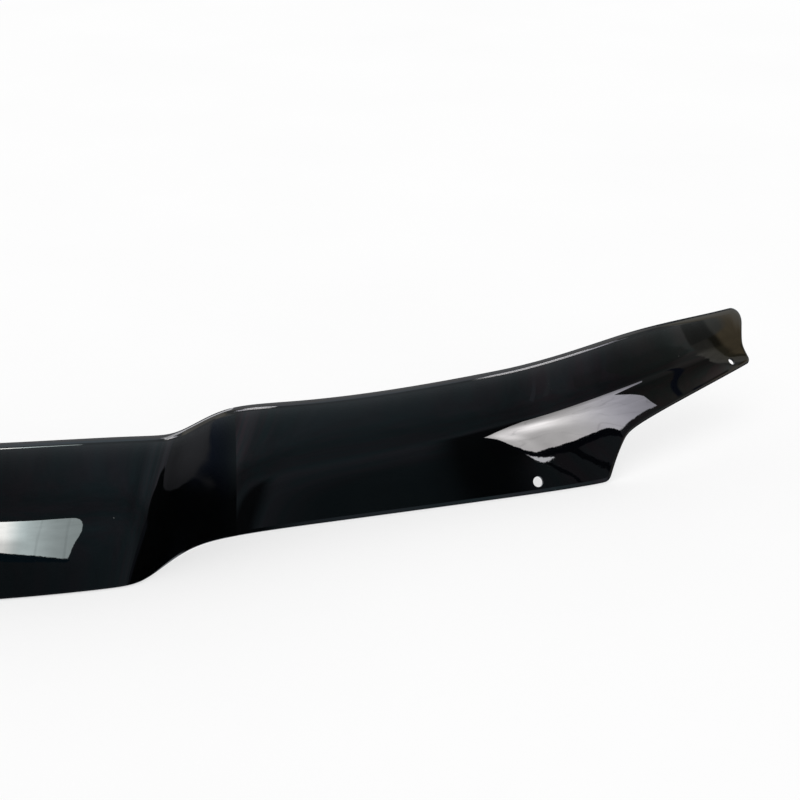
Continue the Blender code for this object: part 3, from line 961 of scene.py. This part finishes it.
def glint_light(g, across, up):
    """A pale glow beside the step, fading downwards."""
    level = g.ramp(up, GLINT_TONES)
    level = level * (1 + 0.5 * (1 - g.eased(across, -0.155, -0.115)))
    return g.scaled(g.joined(0.98, 1.0, 1.1), level * (0.9 + 0.2 * g.noise(g.joined(across, up), 60.0)))


def room_light(g):
    """Light by direction: blue green in front, violet grey to the side and warm beyond it."""
    axis = g.parts(g.vector("NORMALIZE", g.add("ShaderNodeTexCoord", out="Object")))
    up = g.math("ARCSINE", axis.of("Z")) * DEGREES
    off_front = g.math("ARCTAN2", g.math("ABSOLUTE", axis), axis.of("Y") * -1) * DEGREES
    level = g.ramp(up, ROOM_HEIGHT_TONES)
    strips = g.ramp(off_front, ROOM_STRIP_TONES)
    upper_wall = g.eased(up, *UPPER_WALL[0]) * (1 - g.eased(off_front, *UPPER_WALL[1]))
    plain = g.math("MAXIMUM", g.eased(up, *CEILING_RISE), upper_wall)
    strips = strips + (EVENED_STRIPS - strips) * plain
    cloud = g.noise(g.joined(off_front * 0.09, up * 0.14), 1.0, 4.0, 0.6)
    cloud = cloud + 0.9 * (g.noise(g.joined(off_front * 0.5, up * 0.8), 1.0, 5.0, 0.75) - 0.5)
    hue = g.eased(g.noise(g.joined(off_front * 0.2 + 7.0, up * 0.25), 1.0, 3.0, 0.6), 0.35, 0.65)
    tint = g.scaled(g.ramp(off_front, ROOM_COLOURS), ROOM_STRENGTH)
    tint = g.vector("MULTIPLY", tint, g.mixed((0.9, 1.03, 1.03, 1.0), (1.18, 0.96, 1.0, 1.0), hue))
    cloud = 0.93 + 0.8 * cloud
    nook = g.within(off_front, *NOOK_ROUND) * g.within(up, *NOOK_UP)
    level = level * (1 - NOOK_SHADE * nook)
    behind = g.eased(off_front, *BEHIND[0]) * (1 - g.eased(up, *BEHIND[1]))
    grey = g.scaled(g.joined(*BEHIND_COLOUR), cloud)
    return g.mixed(g.scaled(tint, level * strips * cloud), grey, behind)


def dim_room():
    """The room that the gloss shows: a globe with grey walls in upright strips under a bright ceiling."""
    material, g, sink = new_material("dim_room")
    glow = g.add("ShaderNodeEmission", None, {"Color": room_light(g)})
    g.tree.links.new(glow.socket, sink.inputs["Surface"])
    mesh = bpy.data.meshes.new("dim_room")
    ball = bmesh.new()
    bmesh.ops.create_uvsphere(ball, u_segments=64, v_segments=32, radius=ROOM_RADIUS)
    ball.to_mesh(mesh)
    ball.free()
    mesh.shade_smooth()
    room = bpy.data.objects.new("dim_room", mesh)
    bpy.context.scene.collection.objects.link(room)
    mesh.materials.append(material)
    reflection_only(room)


def pale_floor():
    """A white floor with the shadow on it, brightened for the camera and left out of the gloss."""
    material, g, sink = new_material("pale_floor")
    place = g.add("ShaderNodeTexCoord", out="Object")
    mottle = g.add("ShaderNodeTexNoise", None, {"Vector": place, "Scale": 3.0, "Detail": 3.0})
    colour = g.add("ShaderNodeMix", {"data_type": "RGBA"},
                   {"Factor": mottle, 6: (0.97, 0.97, 0.97, 1.0), 7: (1.0, 1.0, 1.0, 1.0)}, 2)
    rays = g.add("ShaderNodeLightPath")
    through = g.math("MAXIMUM", rays.of("Is Glossy Ray"), rays.of("Is Transmission Ray"))
    seen = g.math("MAXIMUM", rays, through)
    shaded = g.add("ShaderNodeBsdfDiffuse", None, {"Color": colour})
    bright = g.add("ShaderNodeEmission", None, {"Color": colour})
    shader = g.add("ShaderNodeMixShader", None, {0: seen * FLOOR_GLOW, 1: shaded, 2: bright})
    g.tree.links.new(shader.socket, sink.inputs["Surface"])
    half = FLOOR_SIZE / 2
    corners = [(-half, -half), (half, -half), (half, half), (-half, half)]
    floor = plain_mesh("pale_floor", [(x, y, -FLOOR_DROP) for x, y in corners], [(0, 1, 2, 3)])
    floor.data.materials.append(material)
    floor.visible_glossy = False


def white_world():
    world = bpy.data.worlds.new("white_studio")
    world.use_nodes = True
    background = world.node_tree.nodes["Background"]
    background.inputs["Color"].default_value = (1.0, 1.0, 1.0, 1.0)
    background.inputs["Strength"].default_value = 1.0
    bpy.context.scene.world = world


def photo_camera():
    data = bpy.data.cameras.new("photo_camera")
    data.lens = CAMERA_LENS
    data.sensor_width = CAMERA_SENSOR
    data.clip_start, data.clip_end = CAMERA_CLIP
    camera = bpy.data.objects.new("photo_camera", data)
    camera.location = CAMERA_PLACE
    camera.rotation_euler = (math.pi / 2 - math.radians(CAMERA_DOWN_DEG), 0.0, 0.0)
    bpy.context.scene.collection.objects.link(camera)
    bpy.context.scene.camera = camera


photo_camera()
white_world()
pale_floor()
dim_room()
whole_front = FRONT_WINDOW + tuple((-x, z) for x, z in FRONT_WINDOW[::-1] if x)
whole_sill = FRONT_SILL + tuple((-x, z) for x, z in FRONT_SILL[::-1] if x)
card("front_window", FRONT_PLANE, whole_front, front_window_light, edge=5.0, mirrored=False)
card("front_sill", FRONT_PLANE, whole_sill, even(0.03, 0.08, 0.12), edge=3.0, nearer=10.0, mirrored=False)
card("side_window", SIDE_PLANE, SIDE_WINDOW, side_window_light, edge=5.0)
card("roof_window", SIDE_PLANE, ROOF_WINDOW, even(15.0, 14.8, 15.2), edge=40.0)
card("side_sill", SIDE_PLANE, SIDE_SILL, even(0.015, 0.018, 0.035), edge=3.0, nearer=10.0)
card("long_beam", SIDE_PLANE, LONG_BEAM, even(0.015, 0.018, 0.03), edge=3.0, nearer=14.0)
card("short_beam", SIDE_PLANE, SHORT_BEAM, even(0.015, 0.018, 0.03), edge=3.0, nearer=14.0)
card("sliver", SIDE_PLANE, SLIVER, even(10.0, 10.0, 10.4), edge=1.2, nearer=20.0)
card("dark_post", TIP_PLANE, DARK_POST, even(0.03, 0.04, 0.08), edge=34.0, nearer=20.0, opacity=0.95)
card("warm_wall", TIP_PLANE, WARM_WALL, warm_wall_light, edge=12.0, nearer=10.0)
card("corner_shade", STEP_PLANE, CORNER_SHADE, corner_light, edge=4.0)
card("corner_rim", STEP_PLANE, CORNER_RIM, even(0.07, 0.08, 0.11), edge=3.0, nearer=0.4, opacity=0.8)
card("corner_glint", STEP_PLANE, CORNER_GLINT, glint_light, edge=2.0, nearer=0.8)
card("step_gleam", STEP_PLANE, STEP_GLEAM, even(6.0, 6.0, 6.2), edge=2.0, nearer=1.2)
card("side_blot", SIDE_PLANE, SIDE_BLOT, even(0.11, 0.13, 0.13), edge=20.0, nearer=6.0, opacity=0.4)
card("left_streak", SIDE_PLANE, LEFT_STREAK, even(0.4, 0.42, 0.5), edge=12.0, nearer=6.0, opacity=0.45)
card("right_streak", SIDE_PLANE, RIGHT_STREAK, even(0.36, 0.4, 0.44), edge=12.0, nearer=6.0, opacity=0.4)
card("tip_blot", SIDE_PLANE, TIP_BLOT, even(0.1, 0.125, 0.115), edge=22.0, nearer=6.0, opacity=0.5)

shell = formed_shell(smoked_acrylic())
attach(shell, "root")
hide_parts("deflector_shell")

bpy.context.scene.view_settings.view_transform = "Standard"
